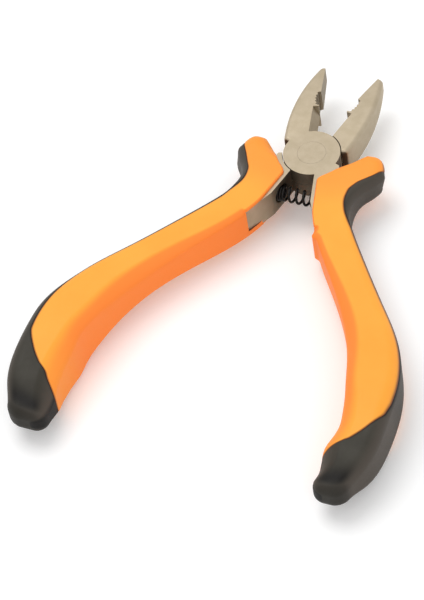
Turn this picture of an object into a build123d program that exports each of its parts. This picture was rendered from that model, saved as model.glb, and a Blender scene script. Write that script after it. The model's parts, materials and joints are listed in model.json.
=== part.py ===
from build123d import *
from math import cos, radians, sin, tan
import os

os.makedirs("parts", exist_ok=True)

# Small spring-return pliers, in millimetres. The pivot axis is +Z, the jaws point to +Y, and the
# origin is on the pivot axis at the underside of the joint. A lever is one jaw, half of the lap
# joint and the tang of the opposite handle. It is drawn closed, with its jaw face on X = 0, and
# turned half of the opening. The lower lever is the upper one turned over about the +Y axis.

# lap joint
lever_t = 8.0            # thickness of the levers at the joint
half_open = 13.5         # degrees that each lever is turned from closed, at rest
boss_r = 7.0             # the round boss
boss_gap = 0.25          # radial gap between a boss and the other lever
lap_gap = 0.06           # gap between the two halves of the lap
rivet_r = 2.8            # shank of the pivot rivet
rivet_head_r = 3.5       # its countersunk heads, peened flush with the bosses
rivet_head_h = 0.9
rivet_fit = 0.04         # radial running clearance in the lever that turns on it

# jaws
jaw_gap = 0.1            # daylight left between the closed jaws
nose_y = 29.4            # pivot to the end of the nose
nose_w = 1.5             # width of one jaw at its nose
nose_t = 4.6             # thickness at the nose
jaw_belly = (6.2, 16.6)  # a point on the outer side of the jaw, half way along
heel = (7.4, 4.4)        # rear corner of the jaw
jaw_edge_r = 1.1         # rounding of the long outer edges
cutter_y = 6.6           # rear end of the cutting edge, at the bosses
spur_y = 15.5            # front end of the cutting edge
spur_w = 0.4             # the spur between the cutting edge and the recess
bevel_w = 1.45           # set-back of the cutter's bevel at the top and bottom faces
recess_y = 20.6          # front end of the toothed recess for round bar
recess_wall = 0.45       # depth of the recess at its ends
recess_depth = 0.95      # depth in its middle
tooth_w = 0.8            # pitch of the teeth in the recess
tooth_depth = 0.22

# tangs
tang_x = 1.45            # inner faces beside the spring, when closed
knee_y = -15.4           # where the inner face bends away
shoulder = (7.15, -3.9)  # front corner of the tang
tang_side = (7.6, -9.0)  # outer side of the tang inside the mouth of the grip
tang_t = 6.0             # thickness of the tang inside the grip
tang_w = 5.5             # its width at the first station
# its sides at the first stations, from the handle's centre line, in shares of tang_w
tang_sides = ((-0.84, 0.16), (-0.69, 0.31), (-0.42, 0.38), (-0.35, 0.31))

# grips
grip_start = (6.73, -18.0)  # centre of the first station, where the handle begins
handle_run = 80.8        # from the first station to the end of the handle, along the tool
handle_bow = 15.3        # how far the handle bows out, past its first station
grip_w = 12.5            # greatest width, seen from above
grip_t = 15.4            # greatest thickness
grip_edge_r = 3.4        # greatest rounding of the long edges
# Stations along the handle, each in shares of the lengths above: how far along the handle's run and
# bow its centre lies, its width, thickness and rounding, and the width of the black part on the
# outer side as a share of grip_w.
stations = (
    (0.0, 0.0, 0.704, 0.623, 0.382, 0.128),
    (0.081, 0.093, 0.710, 0.630, 0.441, 0.072),
    (0.223, 0.391, 0.731, 0.688, 0.529, 0.064),
    (0.372, 0.705, 0.804, 0.747, 0.706, 0.064),
    (0.519, 0.943, 0.976, 0.883, 0.882, 0.064),
    (0.637, 1.0, 1.0, 1.0, 0.971, 0.072),
    (0.743, 0.953, 0.920, 1.0, 1.0, 0.096),
    (0.825, 0.850, 0.932, 0.844, 1.0, 0.392),
    (0.894, 0.709, 0.872, 0.688, 0.941, 0.92),
    (0.949, 0.575, 0.736, 0.584, 0.882, 1.12),
    (1.0, 0.481, 0.624, 0.519, 0.824, 1.12),
)
tail_r = 2.2             # rounding of the handle's end
mouth_y = -8.3           # inner corner of the grip's mouth
mouth_r = 0.9            # rounding of that corner
mouth_mid = (7.3, -5.4)
flare_top = (13.5, -1.3)  # most forward point of the flare
flare_tip = (17.4, -3.8)  # widest point of the flare
flare_back = (14.7, -9.1)
waist = (11.3, -14.8)    # hollow for a finger behind the flare
pad_front = ((15.8, -4.6), (13.0, -6.6), (10.8, -10.1))  # edge of the black part on the flare
slot_end_y = -23.6       # end of the slot that shows the tang

# return spring
spring_y = -11.6          # centre of its seats on the tangs, when closed
spring_r = 2.0            # outside radius
wire_r = 0.33
spring_turns = 7
seat_r = 2.55             # blind seats in the tangs
seat_depth = 1.7
seat_gap = 0.05           # between the end coil and the seat's floor

mid_z = lever_t / 2
face_x = jaw_gap / 2
past = boss_r            # how far a cutter runs past what it cuts
block = 2 * handle_run   # side of a block that trims a part, longer than any part


def up(outline, low, high):
    """A prism of a flat outline between two heights."""
    return extrude(Pos(0, 0, low) * outline, amount=high - low)


def filled(*edges):
    """The face inside a closed run of edges."""
    return make_face(Wire(edges))


def turned_over(shape):
    """Turned half a turn about the line through the joint's middle along +Y."""
    return Pos(0, 0, lever_t) * Rot(0, 180, 0) * shape


# ---- levers


def jaw_side_profile():
    """The jaw seen from the side: level at the joint, then thinning in a long arc to the nose."""
    thin = (lever_t - nose_t) / 2
    top = TangentArc((0, boss_r, lever_t), (0, nose_y, lever_t - thin), tangent=(0, 1, 0))
    low = TangentArc((0, boss_r, 0), (0, nose_y, thin), tangent=(0, 1, 0))
    back_top = Line((0, -boss_r, lever_t), (0, boss_r, lever_t))
    back_low = Line((0, -boss_r, 0), (0, boss_r, 0))
    nose = Line((0, nose_y, lever_t - thin), (0, nose_y, thin))
    back = Line((0, -boss_r, 0), (0, -boss_r, lever_t))
    return extrude(filled(top, nose, low, back_low, back, back_top), amount=2 * boss_r, both=True)


def jaw():
    """A jaw on the -X side with its outer edges rounded."""
    outer = Spline((-nose_w, nose_y), (-jaw_belly[0], jaw_belly[1]), (-heel[0], heel[1]))
    rest = Polyline((-heel[0], heel[1]), (-face_x, 0), (-face_x, nose_y), (-nose_w, nose_y))
    body = up(filled(outer, *rest.edges()), 0, lever_t) & jaw_side_profile()
    long = nose_y / 4
    long_edges = [e for e in body.edges() if e.length > long and e.center().X < -nose_w]
    return fillet(long_edges, jaw_edge_r)


def recess():
    """The toothed recess in the jaw's face, as a cutter."""
    back_y = spur_y + spur_w
    middle = ((recess_y + back_y) / 2, -face_x - recess_depth)
    ends = -face_x - recess_wall
    arc = ThreePointArc((ends, recess_y), (middle[1], middle[0]), (ends, back_y))
    rim = Polyline((ends, back_y), (past, back_y), (past, recess_y), (ends, recess_y))
    cutter = up(filled(arc, *rim.edges()), -past, lever_t + past)
    teeth = int((recess_y - back_y) / tooth_w)
    for i in range(teeth):
        spot = arc @ ((i + 0.5) / teeth)
        tooth = Pos(spot.X, spot.Y, 0) * Rot(0, 0, 45) * Rectangle(2 * tooth_depth, 2 * tooth_depth)
        cutter += up(tooth, -past, lever_t + past)
    return cutter


def bevel():
    """What the two bevels of one cutting edge take away."""
    slope = bevel_w / mid_z
    reach = mid_z + past
    upper = Polyline(
        (-face_x, 0, mid_z), (-face_x - slope * reach, 0, mid_z + reach),
        (past, 0, mid_z + reach), (past, 0, mid_z), close=True)
    wedge = Pos(0, cutter_y, 0) * extrude(filled(*upper.edges()), amount=spur_y - cutter_y, dir=(0, 1, 0))
    return wedge + mirror(wedge, Plane.XY.offset(mid_z))


def tang_outline():
    """The tang of the +X handle, from the joint to its end inside the grip."""
    inner = [across(i, low * tang_w) for i, (low, high) in enumerate(tang_sides)]
    outer = [across(i, high * tang_w) for i, (low, high) in enumerate(tang_sides)]
    face = Line((tang_x, 0), (tang_x, knee_y))
    inside = Spline((tang_x, knee_y), *inner)
    end = Line(inner[-1], outer[-1])
    outside = Spline(*reversed(outer), tang_side)
    front = Polyline(tang_side, shoulder, (tang_x, 0))
    return filled(face, inside, end, outside, *front.edges())


def tang():
    """The tang: as thick as the joint as far as the end of the slot, thinner inside the grip."""
    outline = tang_outline()
    keep = Pos(0, slot_end_y + block / 2) * Rectangle(block, block)
    thick = up(outline & keep, 0, lever_t)
    return thick + up(outline, mid_z - tang_t / 2, mid_z + tang_t / 2)


def rivet(grow):
    """The pivot rivet, or with grow its bore: a shank with a countersunk head at each end."""
    shank = Pos(0, 0, mid_z) * Cylinder(rivet_r + grow, lever_t)
    cone = Cone(rivet_r + grow, rivet_head_r + grow, rivet_head_h)
    head = Pos(0, 0, lever_t - rivet_head_h / 2) * cone
    return shank + head + turned_over(head)


def lever(fit):
    """The upper lever, closed: left jaw, upper boss and right tang; fit is the bore's clearance."""
    lap_low = mid_z + lap_gap / 2
    body = jaw() - recess() - bevel() + tang()
    body -= up(Circle(boss_r + boss_gap), -past, lap_low)
    body += up(Circle(boss_r), lap_low, lever_t)
    seat = Pos(tang_x + seat_depth / 2, spring_y, mid_z) * Rot(0, 90, 0) * Cylinder(seat_r, seat_depth)
    return body - seat - rivet(fit)


# ---- grips


def station(i):
    """A station's centre, width, thickness, edge radius and width of the black part."""
    along, out, width, thick, edge, black = stations[i]
    x = grip_start[0] + out * handle_bow
    y = grip_start[1] - along * handle_run
    return x, y, width * grip_w, thick * grip_t, edge * grip_edge_r, black * grip_w


def station_plane(i):
    """The plane across the handle at a station; its X points to the outer side."""
    x, y = station(i)[:2]
    if i == 0:
        return Plane((x, y, mid_z), x_dir=(1, 0, 0), z_dir=(0, -1, 0))
    after = station(min(i + 1, len(stations) - 1))
    before = station(i - 1)
    along = Vector(after[0] - before[0], after[1] - before[1]).normalized()
    return Plane((x, y, mid_z), x_dir=(-along.Y, along.X, 0), z_dir=(along.X, along.Y, 0))


def across(i, offset):
    """The point at a station that lies offset outwards from the handle's centre line."""
    spot = station_plane(i).from_local_coords((offset, 0, 0))
    return (spot.X, spot.Y)


def grip_rear():
    """The curved handle behind the first station."""
    sections = []
    for i in range(len(stations)):
        x, y, width, thick, edge_r, black = station(i)
        sections.append(station_plane(i) * RectangleRounded(width, thick, edge_r))
    body = loft(sections)
    end = body.faces().sort_by(Axis.Y)[0]
    return fillet(end.edges(), tail_r)


def grip_front():
    """The mouth, the flare and the waist, as far back as the first station."""
    x, y, width, thick, edge_r, black = station(0)
    inner, outer = (x - width / 2, y), (x + width / 2, y)
    mouth = (inner[0], mouth_y)
    side = Line(inner, mouth)
    points = (mouth, mouth_mid, flare_top, flare_tip, flare_back, waist, outer)
    front = Spline(*points, tangents=((mouth_mid[0] - mouth[0], mouth_mid[1] - mouth[1]), (0, -1)))
    body = up(filled(side, front, Line(outer, inner)), mid_z - thick / 2, mid_z + thick / 2)
    corner = body.edges().filter_by(Axis.Z).sort_by_distance((*mouth, mid_z))[0]
    body = fillet(corner, mouth_r)
    joined = body.faces().sort_by(Axis.Y)[0].edges()
    rims = [e for e in body.faces().filter_by(Axis.Z).edges() if e not in joined]
    return fillet(rims, edge_r)


def pad_region():
    """Everything on the black part's side of its edge."""
    back = []
    for i in range(len(stations)):
        x, y, width, thick, edge_r, black = station(i)
        back.append(across(i, width / 2 - black))
    edge = Spline(*pad_front, *back)
    front, end = pad_front[0], back[-1]
    rim = Polyline(end, (end[0], -block), (block, -block), (block, front[1]), front)
    return up(filled(edge, *rim.edges()), mid_z - grip_t, mid_z + grip_t)


def slot():
    """The slot in the inner side of the grip, which leaves the tang bare beside the spring."""
    long = mouth_y - slot_end_y
    wide = tang_side[0]
    return Pos(wide / 2, slot_end_y + long / 2, mid_z) * Box(wide, long, lever_t)


def grip():
    """The whole grip of the +X handle, closed, with the room for the tang and the slot."""
    body = grip_front() + grip_rear()
    return body - tang() - slot()


# ---- spring


def spring():
    """The return spring, with its straight axis along X between the floors of the two seats."""
    a = radians(half_open)
    floor_x = tang_x + seat_depth
    floor = (floor_x * cos(a) - spring_y * sin(a), floor_x * sin(a) + spring_y * cos(a))
    axis_y = tang_x * sin(a) + spring_y * cos(a)
    half = floor[0] - (axis_y + spring_r - floor[1]) * tan(a) - seat_gap - wire_r
    coil_r = spring_r - wire_r
    path = Helix(2 * half / spring_turns, 2 * half, coil_r, center=(-half, axis_y, mid_z), direction=(1, 0, 0))
    start = Plane(path @ 0, z_dir=path % 0)
    return sweep(start * Circle(wire_r), path=path, is_frenet=True)


# ---- the pieces at rest


def opened(shape, side):
    """A closed piece turned to its place at rest: side is 1 on the upper lever, -1 on the lower."""
    return Rot(0, 0, side * half_open) * shape


whole_grip = grip()
black = pad_region()
sleeve = whole_grip - black
backing = whole_grip & black

pieces = {
    "upper_lever": opened(lever(rivet_fit), 1),
    "lower_lever": opened(turned_over(lever(0)), -1),
    "pivot_rivet": rivet(0),
    "return_spring": spring(),
    "right_grip_sleeve": opened(sleeve, 1),
    "right_grip_backing": opened(backing, 1),
    "left_grip_sleeve": opened(turned_over(sleeve), -1),
    "left_grip_backing": opened(turned_over(backing), -1),
}
for name, shape in pieces.items():
    export_step(shape, f"parts/{name}.step")
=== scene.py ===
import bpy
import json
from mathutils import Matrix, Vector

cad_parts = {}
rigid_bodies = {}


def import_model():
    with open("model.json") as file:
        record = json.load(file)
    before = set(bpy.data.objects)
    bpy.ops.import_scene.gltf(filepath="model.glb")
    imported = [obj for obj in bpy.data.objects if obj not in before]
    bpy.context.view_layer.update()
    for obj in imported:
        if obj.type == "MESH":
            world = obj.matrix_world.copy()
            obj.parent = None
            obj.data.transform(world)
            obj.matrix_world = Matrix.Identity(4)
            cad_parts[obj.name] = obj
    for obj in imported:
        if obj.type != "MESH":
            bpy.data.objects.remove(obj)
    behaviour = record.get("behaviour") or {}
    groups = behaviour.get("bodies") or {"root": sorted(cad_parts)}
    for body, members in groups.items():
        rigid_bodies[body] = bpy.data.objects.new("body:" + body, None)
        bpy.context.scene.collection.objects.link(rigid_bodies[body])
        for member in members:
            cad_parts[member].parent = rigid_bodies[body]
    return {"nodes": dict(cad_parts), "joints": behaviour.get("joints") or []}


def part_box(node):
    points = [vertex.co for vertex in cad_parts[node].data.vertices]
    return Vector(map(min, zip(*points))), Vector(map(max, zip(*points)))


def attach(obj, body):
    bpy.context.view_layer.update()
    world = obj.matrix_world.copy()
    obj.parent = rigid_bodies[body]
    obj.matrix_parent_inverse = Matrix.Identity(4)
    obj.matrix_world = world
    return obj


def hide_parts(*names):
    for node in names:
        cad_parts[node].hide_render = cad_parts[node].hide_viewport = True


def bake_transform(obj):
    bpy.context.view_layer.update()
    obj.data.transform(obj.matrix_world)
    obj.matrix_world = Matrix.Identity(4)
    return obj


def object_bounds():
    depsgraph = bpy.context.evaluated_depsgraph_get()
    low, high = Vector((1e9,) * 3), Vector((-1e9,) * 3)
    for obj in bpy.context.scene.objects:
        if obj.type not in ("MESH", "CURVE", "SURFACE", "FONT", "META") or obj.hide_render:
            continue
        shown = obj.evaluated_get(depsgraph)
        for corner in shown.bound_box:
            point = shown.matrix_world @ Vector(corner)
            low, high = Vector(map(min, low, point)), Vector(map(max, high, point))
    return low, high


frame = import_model()
cadBox = [list(corner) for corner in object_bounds()]

import bmesh
import bpy
import json
from math import cos, pi, radians, sin
from mathutils import Matrix, Vector
import numpy as np

# Small spring pliers with two-tone grips. Lengths in the dictionaries are millimetres, and a grip
# is drawn with the tool closed: the tool's axis is x = 0, the jaws point to +y, z = 0 is the
# underside of the joint. openPose turns it to where the frame holds it.

mm = 0.001
tiny = 1e-6  # added where a width may be nothing and something is divided by it
joint = frame["joints"][0]
lowerBody, upperBody = joint["parent"], joint["child"]
halfOpen = -radians(joint["range_deg"][0]) / 2
rivetLow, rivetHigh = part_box("pivot_rivet")
jointTop = rivetHigh[2]
midZ = (rivetLow[2] + rivetHigh[2]) / 2
floorZ = cadBox[0][2]


# A natural cubic spline: each span is a cubic whose slope and curvature agree with its
# neighbours' at the knots, and whose curvature is nothing at the two ends
def splineThrough(knots, values, at):
    gap = np.diff(knots)
    n = len(knots)
    system = np.eye(n)
    right = np.zeros((n, values.shape[1]))
    slope = np.diff(values, axis=0) / gap[:, None]
    inside = np.arange(1, n - 1)
    system[inside, inside - 1] = gap[:-1]
    system[inside, inside] = 2 * (gap[:-1] + gap[1:])
    system[inside, inside + 1] = gap[1:]
    right[1:-1] = 6 * np.diff(slope, axis=0)
    bend = np.linalg.solve(system, right)
    i = np.clip(np.searchsorted(knots, at, side="right") - 1, 0, n - 2)
    t, h = (at - knots[i])[:, None], gap[i][:, None]
    linear = slope[i] - h * (2 * bend[i] + bend[i + 1]) / 6
    return values[i] + t * (linear + t * (bend[i] / 2 + t * (bend[i + 1] - bend[i]) / (6 * h)))


# 0 below low, 1 above high, and 3t squared minus 2t cubed between them
def smoothStep(low, high, x):
    t = np.clip((x - low) / (high - low), 0, 1)
    return t * t * (3 - 2 * t)


# 1 at the middle, falling to both sides as e to minus the square of the distance over the reach
def hump(x, middle, reach):
    return np.exp(-(((x - middle) / reach) ** 2))


# Values from 0 to 1 that crowd at both ends: half of one minus the cosine of even steps
def crowded(count):
    return (1 - np.cos(np.linspace(0, pi, count))) / 2


# The quads of a grid of points, whose last column meets the first where it is closed
def gridFaces(rows, columns, closed=False):
    spans = columns - (0 if closed else 1)
    i, j = np.meshgrid(np.arange(rows - 1), np.arange(spans), indexing="ij")
    k = (j + 1) % columns
    near, far = i * columns, (i + 1) * columns
    return np.stack([near + j, near + k, far + k, far + j], -1).reshape(-1, 4)


# Puts data into the scene as an object at the origin
def newObject(name, data):
    piece = bpy.data.objects.new(name, data)
    bpy.context.scene.collection.objects.link(piece)
    return piece


# Smooth shading that leaves edges over sharpAngle degrees sharp
def shadeSmooth(mesh, sharpAngle):
    mesh.shade_smooth()
    mesh.set_sharp_from_angle(angle=radians(sharpAngle))


# Welds doubles, turns every face outwards and shades the mesh smoothly
def tidyMesh(mesh, sharpAngle, weld=2e-6):
    bm = bmesh.new()
    bm.from_mesh(mesh)
    bmesh.ops.remove_doubles(bm, verts=bm.verts, dist=weld)
    bmesh.ops.dissolve_degenerate(bm, edges=bm.edges, dist=weld / 4)
    bmesh.ops.recalc_face_normals(bm, faces=bm.faces)
    bm.to_mesh(mesh)
    bm.free()
    shadeSmooth(mesh, sharpAngle)


# Two numbers from 0 to 1 at each corner of a mesh's faces, the amounts of painted light and shade,
# kept as its UV map for makeFinish
def addMarks(mesh, marks):
    layer = mesh.uv_layers.new(name="section")
    layer.data.foreach_set("uv", marks.ravel())


# One closed piece from grids of points, given as (points, closed, marks), welded where they meet
def addMesh(name, grids, material, sharpAngle):
    points, faces, marks, start = [], [], [], 0
    for grid, closed, mark in grids:
        rows, columns = grid.shape[:2]
        points.append(grid.reshape(-1, 3))
        marks.append(mark.reshape(-1, 2))
        faces.append(gridFaces(rows, columns, closed) + start)
        start += rows * columns
    faces = np.concatenate(faces)
    mesh = bpy.data.meshes.new(name)
    mesh.from_pydata(np.concatenate(points).tolist(), [], faces.tolist())
    addMarks(mesh, np.concatenate(marks)[faces.ravel()])
    tidyMesh(mesh, sharpAngle)
    piece = newObject(name, mesh)
    piece.data.materials.append(material)
    return piece


# Closed millimetres to the frame: the left grip is the right one seen in a mirror across the
# tool's axis, and each is turned about the pivot by half of the opening
def openPose(points, side):
    x, y, z = np.moveaxis(points * mm, -1, 0)
    c, s = cos(side * halfOpen), sin(side * halfOpen)
    return np.stack([side * c * x - s * y, side * s * x + c * y, z], -1)


# An empty material, with its nodes, its links and its main shader
def newMaterial(name):
    material = bpy.data.materials.new(name)
    material.use_nodes = True
    nodes = material.node_tree.nodes
    return material, nodes, material.node_tree.links, nodes["Principled BSDF"]


# A colour from 0 to 255 as the shader takes it
def linearColour(red, green, blue):
    value = np.array([red, green, blue]) / 255
    linear = np.where(value < 0.04045, value / 12.92, ((value + 0.055) / 1.055) ** 2.4)
    return (*linear.tolist(), 1)


# A colour that goes from low to high with mask. The Mix node's sockets for colours are inputs 6
# and 7 and output 2
def mixColour(nodes, links, mask, low, high):
    mix = nodes.new("ShaderNodeMix")
    mix.data_type = "RGBA"
    for socket, value in ((mix.inputs[0], mask), (mix.inputs[6], low), (mix.inputs[7], high)):
        links.new(value, socket)
    return mix.outputs[2]


# A value's range stretched or squeezed to another
def mapRange(nodes, links, value, fromRange, toRange):
    node = nodes.new("ShaderNodeMapRange")
    links.new(value, node.inputs["Value"])
    for name, ends in (("From", fromRange), ("To", toRange)):
        node.inputs[name + " Min"].default_value, node.inputs[name + " Max"].default_value = ends
    return node.outputs["Result"]


# A Math node on two values, each of them a number or a socket
def calculate(nodes, links, operation, *values):
    node = nodes.new("ShaderNodeMath")
    node.operation = operation
    for socket, value in zip(node.inputs, values):
        if isinstance(value, (int, float)):
            socket.default_value = value
        else:
            links.new(value, socket)
    return node.outputs[0]


# An empty node group with named inputs and outputs, each with its kind of value
def newGroup(name, inputs, outputs):
    group = bpy.data.node_groups.new(name, "ShaderNodeTree")
    for way, sockets in (("INPUT", inputs), ("OUTPUT", outputs)):
        for socket, kind in sockets.items():
            group.interface.new_socket(socket, in_out=way, socket_type="NodeSocket" + kind)
    nodes = group.nodes
    inside, outside = nodes.new("NodeGroupInput"), nodes.new("NodeGroupOutput")
    return group, nodes, group.links, inside.outputs, outside.inputs


# A node group in a material, with the material's own values
def addGroup(nodes, group, values):
    node = nodes.new("ShaderNodeGroup")
    node.node_tree = group
    for name, value in values.items():
        node.inputs[name].default_value = value
    return node


# Two noises on Object coordinates: a broad one for uneven tone and a fine one whose height
# becomes a bumped normal. Sizes and depth are millimetres
def makeGrainGroup():
    sizes = ("toneSize", "grainSize", "bumpStrength", "bumpDepth")
    group, nodes, links, given, out = newGroup(
        "surfaceGrain", dict.fromkeys(sizes, "Float"),
        {"tone": "Float", "grain": "Float", "normal": "Vector"})
    place = nodes.new("ShaderNodeTexCoord")

    def noise(sizeName, detail):
        node = nodes.new("ShaderNodeTexNoise")
        node.inputs["Detail"].default_value = detail
        links.new(place.outputs["Object"], node.inputs["Vector"])
        scale = calculate(nodes, links, "DIVIDE", 1 / mm, given[sizeName])
        links.new(scale, node.inputs["Scale"])
        return node.outputs["Fac"]

    tone, grain = noise("toneSize", detail=3), noise("grainSize", detail=2)
    bump = nodes.new("ShaderNodeBump")
    depth = calculate(nodes, links, "MULTIPLY", given["bumpDepth"], mm)
    links.new(depth, bump.inputs["Distance"])
    links.new(given["bumpStrength"], bump.inputs["Strength"])
    links.new(grain, bump.inputs["Height"])
    links.new(tone, out["tone"])
    links.new(grain, out["grain"])
    links.new(bump.outputs["Normal"], out["normal"])
    return group


# A colour that wanders from deepColour to colour with tone, and goes on to sideColour with side
# and to seamColour with seam, the painted light and shade. Each mask is 0 where nothing is linked
# to it
def makeColourGroup():
    masks, colours = ("tone", "side", "seam"), ("deepColour", "colour", "sideColour", "seamColour")
    group, nodes, links, given, out = newGroup(
        "sectionColour", {**dict.fromkeys(masks, "Float"), **dict.fromkeys(colours, "Color")},
        {"mixed": "Color"})
    mixed = mixColour(nodes, links, given["tone"], given["deepColour"], given["colour"])
    for mask in ("side", "seam"):
        mixed = mixColour(nodes, links, given[mask], mixed, given[mask + "Colour"])
    links.new(mixed, out["mixed"])
    return group


grainGroup, colourGroup = makeGrainGroup(), makeColourGroup()


# How far a point has gone over to the side's colour (u) and to the seam's (v), from the UV map:
# both are painted light and shade
def sectionMarks(nodes, links):
    place = nodes.new("ShaderNodeUVMap")
    place.uv_map = "section"
    split = nodes.new("ShaderNodeSeparateXYZ")
    links.new(place.outputs["UV"], split.inputs[0])
    return split.outputs["X"], split.outputs["Y"]


# The part of each noise's span that tone and roughness are spread over
noiseSpan = {"tone": (0.35, 0.65), "grain": (0.3, 0.7)}


# The section's colours, with their painted light and shade, with the grain in their tone, and in
# roughness and bump
def makeFinish(name, finish):
    material, nodes, links, shader = newMaterial(name)
    grain = addGroup(nodes, grainGroup, finish["grain"]).outputs
    side, seam = sectionMarks(nodes, links)
    tone = mapRange(nodes, links, grain["tone"], noiseSpan["tone"], (0, 1))
    colours = {key: linearColour(*value) for key, value in finish["colours"].items()}
    section = addGroup(nodes, colourGroup, colours)
    for key, mask in (("tone", tone), ("side", side), ("seam", seam)):
        links.new(mask, section.inputs[key])
    roughness = mapRange(nodes, links, grain["grain"], noiseSpan["grain"], finish["roughness"])
    links.new(section.outputs["mixed"], shader.inputs["Base Color"])
    links.new(roughness, shader.inputs["Roughness"])
    links.new(grain["normal"], shader.inputs["Normal"])
    shader.inputs["Metallic"].default_value = finish["metallic"]
    shader.inputs["Specular IOR Level"].default_value = finish["specular"]
    return material


# The orange's sideColour is painted shade on the sleeve's inner wall and flare, and its seamColour
# a painted shadow in the groove at the seam
orangeFinish = {
    "colours": {"colour": (252, 168, 56), "deepColour": (250, 162, 50),
                "sideColour": (255, 138, 50), "seamColour": (120, 62, 24)},
    "roughness": (0.5, 0.6),
    "metallic": 0.0,
    "specular": 0.35,
    "grain": {"toneSize": 14.0, "grainSize": 0.35, "bumpStrength": 0.12, "bumpDepth": 0.05},
}

# The black's sideColour, lighter than its colour, is a painted sheen on its rounded sides and
# flare, and its seamColour painted shade in the seam's groove, in the hollow and on the end behind
# it
blackFinish = {
    "colours": {"colour": (60, 57, 50), "deepColour": (53, 50, 43),
                "sideColour": (76, 69, 62), "seamColour": (14, 11, 8)},
    "roughness": (0.5, 0.62),
    "metallic": 0.0,
    "specular": 0.2,
    "grain": {"toneSize": 6.0, "grainSize": 0.25, "bumpStrength": 0.2, "bumpDepth": 0.05},
}

# The steel's sideColour is the near-black brown of its painted shade on walls, in the joint and
# under it
steelFinish = {
    "colours": {"colour": (184, 171, 149), "deepColour": (177, 164, 141),
                "sideColour": (50, 38, 31)},
    "roughness": (0.55, 0.65),
    "metallic": 1.0,
    "specular": 0.5,
    "grain": {"toneSize": 2.6, "grainSize": 0.12, "bumpStrength": 0.08, "bumpDepth": 0.02},
}

springFinish = {
    "colour": (34, 31, 29),
    "darkShare": 0.6,  # how bright the darker tone is beside it
    "roughness": 0.38,
    "metallic": 0.7,
    "grain": {"toneSize": 1.0, "grainSize": 0.1, "bumpStrength": 0.1, "bumpDepth": 0.02},
}


# Black steel wire, whose colour wanders between two dark tones
def makeSpringSteel(name, finish):
    material, nodes, links, shader = newMaterial(name)
    grain = addGroup(nodes, grainGroup, finish["grain"]).outputs
    colour = linearColour(*finish["colour"])
    dark = tuple(finish["darkShare"] * c for c in colour[:3]) + (1,)
    section = addGroup(nodes, colourGroup, {"deepColour": dark, "colour": colour})
    links.new(grain["tone"], section.inputs["tone"])
    links.new(section.outputs["mixed"], shader.inputs["Base Color"])
    links.new(grain["normal"], shader.inputs["Normal"])
    shader.inputs["Metallic"].default_value = finish["metallic"]
    shader.inputs["Roughness"].default_value = finish["roughness"]
    return material


orangeRubber = makeFinish("orangeRubber", orangeFinish)
blackRubber = makeFinish("blackRubber", blackFinish)
satinSteel = makeFinish("satinSteel", steelFinish)
springSteel = makeSpringSteel("blackSpringSteel", springFinish)
print("materials made")


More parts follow.
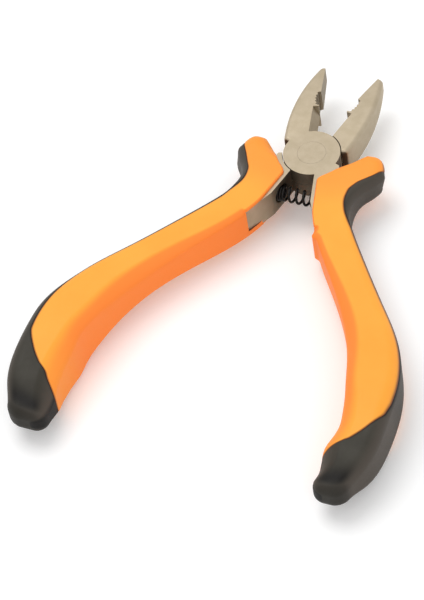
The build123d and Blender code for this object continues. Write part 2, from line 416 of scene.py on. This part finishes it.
# A rung crosses the handle from its inner to its outer side. Each row of rungs holds the rung's
# inner x and y, outer x and y, half of the thickness, the rounding of the inner and the outer long
# edges, and the rounding under the inner side. seam gives the width of the black part, from the
# outer side, at each y of the rungs' outer ends. Values named right and left are for one grip
# each, and from and to are the y between which something sets in.
grip = {
    "rungs": (
        (2.33, -8.3, 13.3, -1.5, 4.75, 1.3, 2.0, 0.35),
        (2.33, -9.3, 16.1, -2.1, 4.75, 1.3, 2.4, 0.35),
        (2.33, -10.6, 17.7, -4.6, 4.75, 1.3, 2.5, 0.35),
        (2.33, -12.2, 17.2, -7.7, 4.75, 1.3, 2.4, 0.35),
        (2.33, -14.0, 14.9, -9.9, 4.75, 1.4, 2.2, 0.35),
        (2.33, -16.4, 12.4, -13.0, 4.75, 1.5, 1.8, 0.35),
        (2.45, -19.4, 11.2, -17.2, 4.8, 1.4, 1.6, 0.35),
        (3.93, -25.9, 12.37, -23.2, 4.9, 1.4, 1.7, 0.6),
        (8.48, -37.75, 16.94, -34.3, 5.35, 2.0, 2.2, 1.9),
        (12.8, -49.8, 22.25, -46.35, 5.8, 3.1, 2.6, 3.0),
        (15.2, -61.1, 27.1, -58.75, 6.8, 3.4, 3.0, 3.4),
        (15.9, -69.5, 28.3, -69.5, 7.7, 3.1, 3.3, 3.1),
        (16.0, -76.9, 26.95, -79.2, 7.75, 3.8, 3.4, 1.8),
        (14.55, -82.7, 25.2, -86.6, 6.7, 4.2, 3.2, 1.2),
        (12.6, -88.2, 22.65, -92.2, 5.5, 4.4, 3.0, 0.8),
        (11.3, -93.3, 19.9, -96.0, 4.35, 4.3, 3.0, 1.8),
        (10.2, -97.6, 17.9, -99.5, 4.2, 3.2, 3.2, 3.3),
    ),
    "seam": (
        (-1.0, 0.0), (-5.1, 0.0), (-5.6, 1.8), (-6.2, 3.5), (-7.0, 4.8), (-7.9, 5.1), (-9.0, 4.95),
        (-10.2, 4.5), (-11.4, 3.6), (-13.0, 2.83), (-15.2, 2.0), (-17.2, 1.34), (-20.5, 0.6),
        (-23.2, 0.3), (-72.0, 0.3), (-76.3, 0.4), (-79.9, 0.95), (-82.4, 2.45), (-85.7, 4.5),
        (-88.7, 6.6), (-89.6, 8.0), (-91.1, 8.6), (-92.8, 9.75), (-93.9, 10.4), (-95.0, 14.0),
        (-101.0, 14.0),
    ),
    "steps": 330,            # rungs worked out between them
    "frontRows": (1.5, 21),  # over this much of the front this many rungs crowd to its edge
    "tailRows": (2.0, 31),   # and over this much of the end
    "across": 44,            # points across the top of each part
    "wallRows": 4,           # points down its sides
    "leastHalf": 0.02,       # half of the thickness that any rounding leaves
    "leastBlack": 0.02,      # width where the black part begins
    "sharpAngle": 38,
    "frontCorner": 1.2,      # rounding of the mouth's corner, seen from above
    "tailCorner": 3.0,       # rounding of the end's two corners, seen from above
    "innerShare": (0.3, 0.7),  # where across the handle the inner side's values go over
    # Slope where the inner side begins, and where it fades out
    "crease": {"slope": 0.45, "from": -90.0, "to": -95.5},
    "groove": {"depth": 0.12, "width": 0.2},  # where orange meets black
    "seamShadeWidth": 0.3,        # width of the line of painted shade in the seam's groove
    "seamSpread": 2,         # rungs to each side over which the seam's corners are softened
    # The flare's outer side: rounding over and under it, and how far it leans out over, in under
    "flare": {"right": (2.4, 3.9, 0.4), "left": (3.6, 1.8, -0.5), "from": -19.0, "to": -9.0},
    # How far the flare's front is bowed, and over which shares of the width that sets in
    "frontBulge": {"height": 1.3, "from": -9.0, "to": -2.5, "share": (0.15, 0.6)},
    "padShare": {"right": 1.0, "left": 0.82},  # how wide the black pad on the flare is
    # How much further back the pad starts
    "padStart": {"right": 1.2, "left": 0.0, "from": -8.5, "to": -6.0},
    # Least width of the black part, up to where it narrows before the flare
    "strip": {"right": 0.0, "left": 0.95, "from": -23.0, "to": -17.0},
    "nub": {"y": -7.0, "reach": 0.8, "height": 0.5},  # flash left on the flare's outer side
    # Bulges of the inner side: flash behind the slot, and a flatter belly
    "bulges": (
        {"right": 0.9, "left": 0.0, "y": -25.7, "reach": 0.9},
        {"right": 0.0, "left": 0.85, "y": -78.0, "reach": 4.4},
        {"right": -0.4, "left": 0.0, "y": -80.8, "reach": 2.8},
        {"right": 0.5, "left": -0.3, "y": -86.5, "reach": 2.2},
        {"right": -0.35, "left": 0.0, "y": -92.3, "reach": 2.5},
    ),
    "tailGrowth": {"right": 0.0, "left": 1.2, "from": -58.0, "to": -74.0},  # of the outer side
    "tailSeam": {"right": 1.3, "left": 0.0, "from": -89.0, "to": -91.5},  # more black on the end
    # The hollow before the end's lip, up to these shares of the rounding; hollow and end are
    # painted dark as shade
    "hollow": {"y": -95.4, "reach": 2.4, "depth": 0.35, "lipShade": 0.45, "share": (0.3, 0.9)},
    # Room for the tang, cut out of the sleeve
    "slot": {"inner": -3.0, "outer": 7.6, "end": -23.6, "front": 1.0, "low": 1.0, "high": 8.0},
    "slotEdge": {"from": -30.0, "to": -24.0},  # where the top's rounding goes over to the slot's
    # Over how much of the rounding the orange side's painted shade fades in, and how much more
    # that gets
    "sideShadeFade": {"share": 0.3, "more": 0.4, "from": -45.0, "to": -80.0},
    "sideShadeLoss": {"share": 0.45, "from": -72.0, "to": -88.0},  # how much of that painted shade it loses towards the end
    "blackSheenFade": {"share": (0.2, 1.0), "from": -99.0, "to": -96.0},  # the black side's painted sheen, and where it gives way at the end
    "flareLightAndShade": {"sleeve": 0.45, "backing": 0.6},  # how much of the side's painted light and shade the flare has
}


# How far an entry of the dictionary has set in at y: a smooth step between its from and its to
def setIn(name, y):
    return smoothStep(grip[name]["from"], grip[name]["to"], y)


# What a rounded corner takes off a side at a distance from the end: radius minus the chord
def cornerTrim(away, radius):
    short = np.clip(radius - away, 0, radius)
    return (radius - np.sqrt(radius ** 2 - short ** 2))[:, None]


# Distances along the handle, even in its middle and crowding to its two ends
def rungPlaces(length):
    (front, frontCount), (tail, tailCount) = grip["frontRows"], grip["tailRows"]
    return np.concatenate([
        2 * front * crowded(2 * frontCount - 1)[:frontCount],
        np.linspace(front, length - tail, grip["steps"])[1:-1],
        length - tail + 2 * tail * (crowded(2 * tailCount - 1)[tailCount - 1:] - 0.5)])


# Rungs carried along the handle: every column of the table is a spline of the distance along the
# rungs' middles, the four corners of the plan are rounded off, and the one grip's own bulges come
# on top. The black part's width is read from seam
def gripRungs(prefix):
    table = np.array(grip["rungs"])
    middle = (table[:, 0:2] + table[:, 2:4]) / 2
    gaps = np.linalg.norm(np.diff(middle, axis=0), axis=1)
    along = np.concatenate([[0], np.cumsum(gaps)])
    at = rungPlaces(along[-1])
    row = splineThrough(along, table, at)
    inner, outer = row[:, 0:2], row[:, 2:4]
    innerY, outerY = row[:, 1:2], row[:, 3:4]
    rung = outer - inner
    rung = rung / np.linalg.norm(rung, axis=1, keepdims=True)
    cutFront = cornerTrim(at, grip["frontCorner"])
    cutTail = cornerTrim(along[-1] - at, grip["tailCorner"])
    nub = grip["nub"]
    extra = nub["height"] * hump(outerY, nub["y"], nub["reach"])
    extra = extra + grip["tailGrowth"][prefix] * setIn("tailGrowth", outerY)
    bump = sum(b[prefix] * hump(innerY, b["y"], b["reach"]) for b in grip["bulges"])
    inner = inner + rung * (cutTail + cutFront - bump)
    outer = outer + rung * (extra - cutTail)

    seam, spread = np.array(grip["seam"])[::-1], grip["seamSpread"]
    late = grip["padStart"][prefix] * setIn("padStart", outerY)
    black = np.interp((outerY + late)[:, 0], seam[:, 0], seam[:, 1])
    window = 2 * spread + 1
    black = np.convolve(np.pad(black, spread, "edge"), np.ones(window) / window, "valid")[:, None]
    black = black * (1 + (grip["padShare"][prefix] - 1) * setIn("flare", outerY))
    black = black + grip["tailSeam"][prefix] * setIn("tailSeam", outerY)
    least = tiny + grip["strip"][prefix] * (1 - setIn("strip", outerY))
    black = black + least * np.exp(-black / least)
    black = np.clip(black + extra - cutTail, 0, None)
    return inner, outer, row[:, 4:5], row[:, 5:6], row[:, 6:7], row[:, 7:8], black


# The shortest distance in plan from each point to a closed run of straight lines: to the nearest
# place on each line, found for some of the lines at a time
def distanceTo(points, outline, shortest=1e-9, chunks=24):
    start, step = outline, np.roll(outline, -1, axis=0) - outline
    keep = np.linalg.norm(step, axis=1) > shortest
    start, step = start[keep], step[keep]
    best = np.full(len(points), np.inf)
    for a, b in zip(np.array_split(start, chunks), np.array_split(step, chunks)):
        offset = points[:, None] - a
        t = np.clip((offset * b).sum(-1) / (b * b).sum(-1), 0, 1)
        best = np.minimum(best, np.linalg.norm(offset - t[..., None] * b, axis=-1).min(1))
    return best


# One part of a grip, the sleeve or the backing. Its plan is the grid between two runs of points.
# Its top lies half of the thickness over the middle, less the drop near the outline. Where q is
# how far a point lies inside the rounding, from 0 at its rim to 1 at the outline, the drop is the
# rounding's radius times a mix of q, which gives the inner side its crease, and of 1 less the root
# of 1 less q squared, which is a round edge. The bottom mirrors the top, with its own roundings.
# The flare's outer side leans, so that top and bottom are shifted across it in opposite ways, and
# its front is bowed. A groove runs along the seam, and a hollow lies before the end's lip
def gripPart(kind, fromSide, toSide, rungs, outline, flare):
    inner, outer, half, innerR, outerR, lowInnerR = rungs
    u = crowded(grip["across"])[None, :, None]
    plan = fromSide[:, None] + (toSide - fromSide)[:, None] * u
    rows, columns = plan.shape[:2]
    d = distanceTo(plan.reshape(-1, 2), outline).reshape(rows, columns)
    width = np.linalg.norm(outer - inner, axis=1)[:, None]
    share = np.linalg.norm(plan - inner[:, None], axis=-1) / np.maximum(width, tiny)
    onInner = 1 - smoothStep(*grip["innerShare"], share)
    y = plan[..., 1]
    crease = grip["crease"]["slope"] * onInner * (1 - setIn("crease", y))
    over, under, lean = flare
    atFlare = setIn("flare", y)

    def roundEdge(innerSide, outerSide):
        radius = np.minimum(outerSide + (innerSide - outerSide) * onInner, half)
        q = np.clip(1 - d / radius, 0, 1)
        return q, radius * (crease * q + (1 - crease) * (1 - np.sqrt(1 - q ** 2)))

    besideSlot = setIn("slotEdge", y) * (y > grip["slot"]["end"])
    topInnerR = innerR + (lowInnerR - innerR) * besideSlot
    q, drop = roundEdge(topInnerR, outerR + (over - outerR) * atFlare)
    lowDrop = roundEdge(lowInnerR, outerR + (under - outerR) * atFlare)[1]
    shift = ((outer - inner) / width)[:, None] * (lean * atFlare * share ** 2)[..., None]
    bow = grip["frontBulge"]
    forward = bow["height"] * smoothStep(*bow["share"], share) * setIn("frontBulge", y)
    plan = plan + forward[..., None] * np.array([0.0, 1.0])

    toSeam = 1 - u[..., 0] if kind == "sleeve" else u[..., 0]
    fromSeam = toSeam * np.linalg.norm(toSide - fromSide, axis=1)[:, None]
    groove = grip["groove"]["depth"] * hump(fromSeam, 0, grip["groove"]["width"])
    hollow = grip["hollow"]
    sunk = hump(y, hollow["y"], hollow["reach"]) * (1 - smoothStep(*hollow["share"], q))
    drop, lowDrop = drop + groove + hollow["depth"] * sunk, lowDrop + groove

    centre, least = midZ / mm, grip["leastHalf"]
    top = [plan + shift, (centre + np.maximum(half - drop, least))[..., None]]
    bottom = [plan - shift, (centre - np.maximum(half - lowDrop, least))[..., None]]
    marks = gripPaintedLightAndShade(kind, y, q, onInner, atFlare, fromSeam, sunk)
    return closedShell(np.concatenate(top, -1), np.concatenate(bottom, -1), marks)


# The painted light and shade of a part's top: the side's colour, painted shade on the sleeve and a
# painted sheen on the backing, sets in within the rounding, on the sleeve only at the inner side,
# and the whole flare has some. The seam is painted dark as shade in its groove, and so are the
# backing's hollow and the end behind it
def gripPaintedLightAndShade(kind, y, q, onInner, atFlare, fromSeam, sunk):
    seam = hump(fromSeam, 0, grip["seamShadeWidth"])
    if kind == "sleeve":
        fade = grip["sideShadeFade"]
        sideLightAndShade = smoothStep(0, fade["share"] + fade["more"] * setIn("sideShadeFade", y), q) * onInner
        sideLightAndShade = sideLightAndShade * (1 - grip["sideShadeLoss"]["share"] * setIn("sideShadeLoss", y))
    else:
        hollow = grip["hollow"]
        sideLightAndShade = smoothStep(*grip["blackSheenFade"]["share"], q) * setIn("blackSheenFade", y)
        lipShade = hollow["lipShade"] * smoothStep(hollow["y"], hollow["y"] - hollow["reach"], y)
        seam = np.maximum(seam, np.maximum(sunk, lipShade))
    return np.stack([np.maximum(sideLightAndShade, grip["flareLightAndShade"][kind] * atFlare), seam], -1)


# Grids that close a top and a bottom: a ring round both with walls at its sides, and two ends
def closedShell(top, bottom, marks):
    count = grip["wallRows"]
    wall = np.linspace(0, 1, count + 2)[1:-1][None, :, None]
    far = top[:, -1:] + (bottom[:, -1:] - top[:, -1:]) * wall
    near = bottom[:, :1] + (top[:, :1] - bottom[:, :1]) * wall
    ring = np.concatenate([top, far, bottom[:, ::-1], near], 1)
    farMarks, nearMarks = (np.repeat(marks[:, [k]], count, 1) for k in (-1, 0))
    ringMarks = np.concatenate([marks, farMarks, marks[:, ::-1], nearMarks], 1)
    ends = [(np.stack([top[k], bottom[k]]), False, np.stack([marks[k]] * 2)) for k in (0, -1)]
    return [(ring, True, ringMarks), *ends]


# Takes the room of the tang and the slot beside the spring out of a sleeve
def cutSlot(piece, side):
    slot = grip["slot"]
    x0, x1, y0, y1 = (slot[name] for name in ("inner", "outer", "end", "front"))
    corners = [(x, y, slot[level]) for level in ("low", "high")
               for x, y in ((x0, y0), (x1, y0), (x1, y1), (x0, y1))]
    faces = [(3, 2, 1, 0), (4, 5, 6, 7)]
    faces += [(i, (i + 1) % 4, (i + 1) % 4 + 4, i + 4) for i in range(4)]
    mesh = bpy.data.meshes.new("slotCutter")
    mesh.from_pydata(openPose(np.array(corners), side).tolist(), [], faces)
    tidyMesh(mesh, grip["sharpAngle"])
    cutter = newObject("slotCutter", mesh)
    cut = piece.modifiers.new("slot", "BOOLEAN")
    cut.operation, cut.solver, cut.object = "DIFFERENCE", "EXACT", cutter
    applyModifiers(piece)
    bpy.data.objects.remove(cutter)
    shadeSmooth(piece.data, grip["sharpAngle"])


# Keeps what the modifiers give as the piece's own mesh
def applyModifiers(piece):
    bpy.context.view_layer.update()
    finished = piece.evaluated_get(bpy.context.evaluated_depsgraph_get())
    result = bpy.data.meshes.new_from_object(finished)
    piece.modifiers.clear()
    piece.data = result


# A grip's two parts, which share the seam: it lies the black part's width in from the outer side
def makeGrip(side, prefix, body):
    *rungs, black = gripRungs(prefix)
    inner, outer = rungs[:2]
    width = np.linalg.norm(outer - inner, axis=1, keepdims=True)
    seam = outer - (outer - inner) / width * np.minimum(black, width)
    outline = np.concatenate([inner, outer[::-1]])
    isOrange = np.nonzero(width[:, 0] - black[:, 0] > 0)[0]
    isBlack = np.nonzero(black[:, 0] > grip["leastBlack"])[0]
    for kind, keep, fromSide, toSide, material in (
            ("sleeve", isOrange, inner, seam, orangeRubber),
            ("backing", isBlack, seam, outer, blackRubber)):
        kept = [value[keep] for value in rungs]
        flare = grip["flare"][prefix]
        grids = gripPart(kind, fromSide[keep], toSide[keep], kept, outline, flare)
        placed = [(openPose(points, side), closed, marks) for points, closed, marks in grids]
        piece = addMesh(f"{prefix}_{kind}", placed, material, grip["sharpAngle"])
        if kind == "sleeve":
            cutSlot(piece, side)
        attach(piece, body)
        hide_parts(f"{prefix}_grip_{kind}")


makeGrip(1, "right", upperBody)
makeGrip(-1, "left", lowerBody)
print("grips made")


# How much painted shade each part of the steel has: the polished top faces 0 but for a little on
# the boss, the jaws' outer sides a little, their inner faces and the tangs' sides more, and the
# wall of the joint between the tangs, where shade falls, nearly black. Below are the places and
# the turns of a face where one goes over to the next
steel = {
    "outerSide": 0.02, "jawFace": 0.4, "bevel": 0.03, "heel": 0.8,
    "tangFront": 0.85, "tangEnd": 0.02, "jointWall": 0.72, "boss": 0.08,
    "sharpAngle": 12,
    "levelTurn": (0.55, 0.85),  # a face's normal upwards, from a wall to a top face
    "bevelTurn": (0.1, 0.3),    # the same from a jaw's face to its bevels
    "inwardTurn": (0.2, 0.5),   # its normal to the tool's axis, from an outer to an inner side
    "heelTurn": (0.5, 0.75),    # its normal backwards, from a jaw's side to its heel
    "heelFront": 6.0,           # y that heels lie behind
    "jawStart": 1.0,            # y where the jaws begin
    "jointR": 7.4,              # the joint's wall lies within this, and doesn't face forwards
    "forwardTurn": 0.5,
    "tangRun": (-20.0, -8.0),   # y from the tangs' ends to their fronts
    "bossEdge": (6.0, 9.0),     # distances from the pivot where the boss ends
}


# From one amount of painted shade of the steel to another
def shadeBetween(low, high, share):
    return steel[low] + (steel[high] - steel[low]) * share


# The painted shade at each corner of a steel piece's faces, from its place, in millimetres, and
# the
# normal of its face: walls, and most of all those in and under the joint, are painted darker
def steelPaintedShade(place, normal):
    x, y = place[:, 0], place[:, 1]
    away, level = np.hypot(x, y), np.abs(normal[:, 2])
    isWall = 1 - smoothStep(*steel["levelTurn"], level)
    facesIn = smoothStep(*steel["inwardTurn"], -normal[:, 0] * np.sign(x))
    inside = shadeBetween("jawFace", "bevel", smoothStep(*steel["bevelTurn"], level))
    jaw = steel["outerSide"] + (inside - steel["outerSide"]) * facesIn
    isHeel = smoothStep(*steel["heelTurn"], -normal[:, 1]) * (y < steel["heelFront"])
    jaw = np.maximum(jaw, steel["heel"] * isHeel)
    isJoint = (away < steel["jointR"]) & (normal[:, 1] < steel["forwardTurn"])
    tang = shadeBetween("tangEnd", "tangFront", smoothStep(*steel["tangRun"], y))
    rear = np.where(isJoint, steel["jointWall"], tang)
    boss = steel["boss"] * (1 - smoothStep(*steel["bossEdge"], away))
    return isWall * np.where(y > steel["jawStart"], jaw, rear) + (1 - isWall) * boss


# One value, or a row of width values, for each vertex, face or corner
def readMesh(items, name, width=1, kind=float):
    values = np.empty(len(items) * width, dtype=kind)
    items.foreach_get(name, values)
    return values.reshape(-1, width) if width > 1 else values


# A welded copy of a frame node's mesh, marked with its painted shade for its finish
def finishedCopy(node, body):
    mesh = frame["nodes"][node].data.copy()
    mesh.name = node + "_finished"
    tidyMesh(mesh, steel["sharpAngle"])
    place, normal = readMesh(mesh.vertices, "co", 3), readMesh(mesh.polygons, "normal", 3)
    corner = readMesh(mesh.loops, "vertex_index", kind=int)
    corners = readMesh(mesh.polygons, "loop_total", kind=int)
    # tone here is the painted shade at each corner of the faces
    tone = steelPaintedShade(place[corner] / mm, np.repeat(normal, corners, axis=0))
    addMarks(mesh, np.stack([tone, np.zeros(len(tone))], 1))
    mesh.materials.clear()
    mesh.materials.append(satinSteel)
    copy = newObject(mesh.name, mesh)
    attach(copy, body)
    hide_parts(node)


finishedCopy("upper_lever", upperBody)
finishedCopy("lower_lever", lowerBody)
finishedCopy("pivot_rivet", lowerBody)
print("levers made")


spring = {
    "wire": 0.33,         # radius
    "closedTurns": 2.6, "openTurns": 4.2, "endTurns": 0.6,
    "closedPitch": 0.70,
    "opening": (0.3, 0.3),  # turns before and after, over which the pitch opens
    "closing": (0.3, 0.1),  # and closes again
    "rows": 480, "around": 14, "capRows": 4,
    "sharpAngle": 60,
}


# A wire carried along a coil whose pitch changes: nearly closed at the left end, open to the
# right, and closed again for the last part of a turn. Its ends are half balls
def makeSpring():
    low, high = (np.array(corner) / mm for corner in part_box("return_spring"))
    wire = spring["wire"]
    coilR = (high[2] - low[2]) / 2 - wire
    y, z = (low[1] + high[1]) / 2, (low[2] + high[2]) / 2
    turns = spring["closedTurns"] + spring["openTurns"] + spring["endTurns"]
    t = np.linspace(0, turns, spring["rows"])

    def changing(at, turnsAround):
        return smoothStep(at - turnsAround[0], at + turnsAround[1], t)

    isOpen = changing(spring["closedTurns"], spring["opening"])
    isOpen = isOpen * (1 - changing(turns - spring["endTurns"], spring["closing"]))
    length = high[0] - low[0] - 2 * wire
    closedLength = spring["closedPitch"] * turns
    step = np.concatenate([[0], np.cumsum((isOpen[1:] + isOpen[:-1]) / 2 * np.diff(t))])
    opened = (length - closedLength) * step / step[-1]
    x = low[0] + wire + spring["closedPitch"] * t + opened
    angle = 2 * pi * t
    radial = np.stack([np.zeros_like(t), np.cos(angle), np.sin(angle)], 1)
    path = np.stack([x, np.full_like(t, y), np.full_like(t, z)], 1) + coilR * radial
    tangent = np.gradient(path, axis=0)
    tangent /= np.linalg.norm(tangent, axis=1, keepdims=True)
    side = np.cross(tangent, radial)
    turn = np.linspace(0, 2 * pi, spring["around"] + 1)[:-1][None, :, None]
    ring = wire * (np.cos(turn) * radial[:, None] + np.sin(turn) * side[:, None])
    cap = np.linspace(0, pi / 2, spring["capRows"] + 1)[1:, None, None]
    start = path[0] + ring[0] * np.cos(cap) - wire * tangent[0] * np.sin(cap)
    end = path[-1] + ring[-1] * np.cos(cap) + wire * tangent[-1] * np.sin(cap)
    tube = np.concatenate([start[::-1], path[:, None] + ring, end]) * mm
    grids = [(tube, True, np.zeros((*tube.shape[:2], 2)))]
    piece = addMesh("coil_spring", grids, springSteel, spring["sharpAngle"])
    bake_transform(piece)
    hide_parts("return_spring")


makeSpring()
print("spring made")


studio = {
    "world": 0.75,
    "key": {"place": (-0.25, 0.10, 0.70), "size": 0.6, "power": 2.3},
    "fill": {"place": (0.45, -0.55, 0.45), "size": 0.6, "power": 0.8},
    "floorColour": (248, 248, 248),
    "floorRoughness": 0.9,
    "floorGlow": 0.12,
    "floorReach": 2.0,  # metres to each side
}
white = (1, 1, 1, 1)


# 1 for rays from the camera and for those of a reflection or a refraction
def isSeen(nodes, links):
    rays = nodes.new("ShaderNodeLightPath")
    total = rays.outputs["Is Camera Ray"]
    for name in ("Is Glossy Ray", "Is Transmission Ray"):
        total = calculate(nodes, links, "MAXIMUM", total, rays.outputs[name])
    return total


# Light of the world's strength on the object, and plain white behind it
def makeWorld():
    world = bpy.data.worlds.new("studio")
    world.use_nodes = True
    nodes, links = world.node_tree.nodes, world.node_tree.links
    light, behind = nodes["Background"], nodes.new("ShaderNodeBackground")
    light.inputs["Color"].default_value = white
    light.inputs["Strength"].default_value = studio["world"]
    behind.inputs["Color"].default_value = white
    mix = nodes.new("ShaderNodeMixShader")
    links.new(isSeen(nodes, links), mix.inputs[0])
    links.new(light.outputs[0], mix.inputs[1])
    links.new(behind.outputs[0], mix.inputs[2])
    links.new(mix.outputs[0], nodes["World Output"].inputs["Surface"])
    bpy.context.scene.world = world


# A pale square under the tool, which glows a little only where it is seen
def makeFloor():
    material, nodes, links, shader = newMaterial("paleFloor")
    shader.inputs["Base Color"].default_value = linearColour(*studio["floorColour"])
    shader.inputs["Roughness"].default_value = studio["floorRoughness"]
    shader.inputs["Specular IOR Level"].default_value = 0
    shader.inputs["Emission Color"].default_value = white
    glow = calculate(nodes, links, "MULTIPLY", isSeen(nodes, links), studio["floorGlow"])
    links.new(glow, shader.inputs["Emission Strength"])
    reach = studio["floorReach"]
    square = ((-reach, -reach), (reach, -reach), (reach, reach), (-reach, reach))
    mesh = bpy.data.meshes.new("floor")
    mesh.from_pydata([(x, y, floorZ) for x, y in square], [], [(0, 1, 2, 3)])
    mesh.materials.append(material)
    floor = newObject("floor", mesh)


# A round lamp that points at the pivot
def makeLamp(name):
    values = studio[name]
    lamp = bpy.data.lights.new(name, "AREA")
    lamp.shape, lamp.size, lamp.energy = "DISK", values["size"], values["power"]
    holder = newObject(name, lamp)
    holder.location = values["place"]
    holder.rotation_euler = (-Vector(values["place"])).to_track_quat("-Z", "Y").to_euler()


# The camera looks from back, which azimuth and elevation give, and is then rolled about its axis
view = {
    "azimuth": 29.631,
    "elevation": 50.773,
    "roll": -10.723,
    "target": (-6.868, -49.405),
    "distance": 701.4,
    "lens": 179.6,
    "sensor": 36.0,
    "clip": (0.05, 10.0),  # metres
}


def makeCamera():
    a, e, r = (radians(view[name]) for name in ("azimuth", "elevation", "roll"))
    back = Vector((sin(a) * cos(e), -cos(a) * cos(e), sin(e)))
    right = Vector((cos(a), sin(a), 0))
    up = back.cross(right)
    rolledRight = cos(r) * right + sin(r) * up
    rolledUp = cos(r) * up - sin(r) * right
    target = Vector((view["target"][0] * mm, view["target"][1] * mm, jointTop))
    data = bpy.data.cameras.new("camera")
    data.lens, data.sensor_width = view["lens"], view["sensor"]
    data.clip_start, data.clip_end = view["clip"]
    camera = newObject("camera", data)
    turn = Matrix((rolledRight, rolledUp, back)).transposed().to_4x4()
    camera.matrix_world = Matrix.Translation(target + back * view["distance"] * mm) @ turn
    bpy.context.scene.camera = camera


makeWorld()
makeFloor()
makeLamp("key")
makeLamp("fill")
makeCamera()
bpy.context.scene.view_settings.view_transform = "Standard"
print("stage made")
